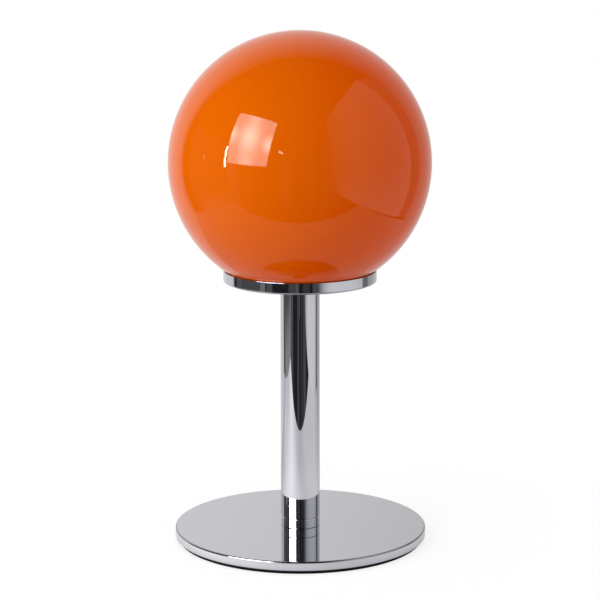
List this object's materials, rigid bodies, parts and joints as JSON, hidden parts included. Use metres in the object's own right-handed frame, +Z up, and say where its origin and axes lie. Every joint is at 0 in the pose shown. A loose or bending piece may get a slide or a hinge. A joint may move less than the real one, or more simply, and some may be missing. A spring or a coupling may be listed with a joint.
{
  "type": "glass globe table lamp",
  "caption": "Table lamp with a closed orange glass globe seated in a shallow polished dish on a polished tube stem and a round weighted base; the globe lifts off to change the bulb.",
  "frame": {"origin": "centre of the base pad's underside, on the surface that the lamp stands on", "axes": "+Z up along the stem, -Y towards the front, +Y towards the cord entry at the back"},
  "size_m": [0.2, 0.1998, 0.394],
  "materials": {
    "polished_chrome": "mirror-polished chrome plate",
    "orange_glass": "glossy opaque cased glass",
    "black_rubber": "matt",
    "zinc_steel": "bright zinc plate",
    "spring_steel": "rolled strip",
    "rivet_aluminium": "bright",
    "clear_silicone": "satin",
    "black_moulding": "fine satin",
    "cable_sheath": "satin",
    "brown_core": "satin",
    "blue_core": "satin",
    "steatite": "matt fired",
    "brass": "bright",
    "black_glass": "glossy",
    "nickel_shell": "nickel plate",
    "white_moulding": "satin",
    "green_board": "satin",
    "white_board": "satin",
    "phosphor": "satin",
    "opal_diffuser": "fine satin"
  },
  "bodies": {
    "stand": {"base_pad": "black_rubber", "base_plate": "polished_chrome", "base_washer": "zinc_steel", "base_bolt": "zinc_steel", "foot_collar": "polished_chrome", "stem_tube": "polished_chrome", "cord_gland": "black_moulding", "inner_lead": "cable_sheath", "live_wire": "brown_core", "neutral_wire": "blue_core", "stem_top_plug": "zinc_steel", "threaded_nipple": "zinc_steel", "gallery_dish": "polished_chrome", "lock_washer": "zinc_steel", "nipple_nut": "zinc_steel", "globe_spring_1": "spring_steel", "globe_spring_2": "spring_steel", "globe_spring_3": "spring_steel", "spring_rivets": "rivet_aluminium", "globe_seal": "clear_silicone", "holder_cap": "black_moulding", "holder_skirt": "black_moulding", "holder_insert": "steatite", "nipple_grub_screw": "zinc_steel", "live_terminal": "brass", "neutral_terminal": "brass", "terminal_screws": "zinc_steel", "centre_contact": "brass", "side_contact": "brass"},
    "globe": {"glass_globe": "orange_glass"},
    "bulb": {"bulb_tip": "brass", "bulb_insulator": "black_glass", "bulb_screw_cap": "nickel_shell", "bulb_housing": "white_moulding", "driver_board": "green_board", "led_board": "white_board", "led_chips": "phosphor", "bulb_diffuser": "opal_diffuser"}
  },
  "joints": [
    {"name": "globe_lift", "type": "slide", "parent": "stand", "child": "globe", "axis": [0, 0, 1], "range_m": [0, 0.15]},
    {"name": "bulb_unscrew", "type": "slide", "parent": "stand", "child": "bulb", "axis": [0, 0, 1], "range_m": [0, 0.025]}
  ]
}
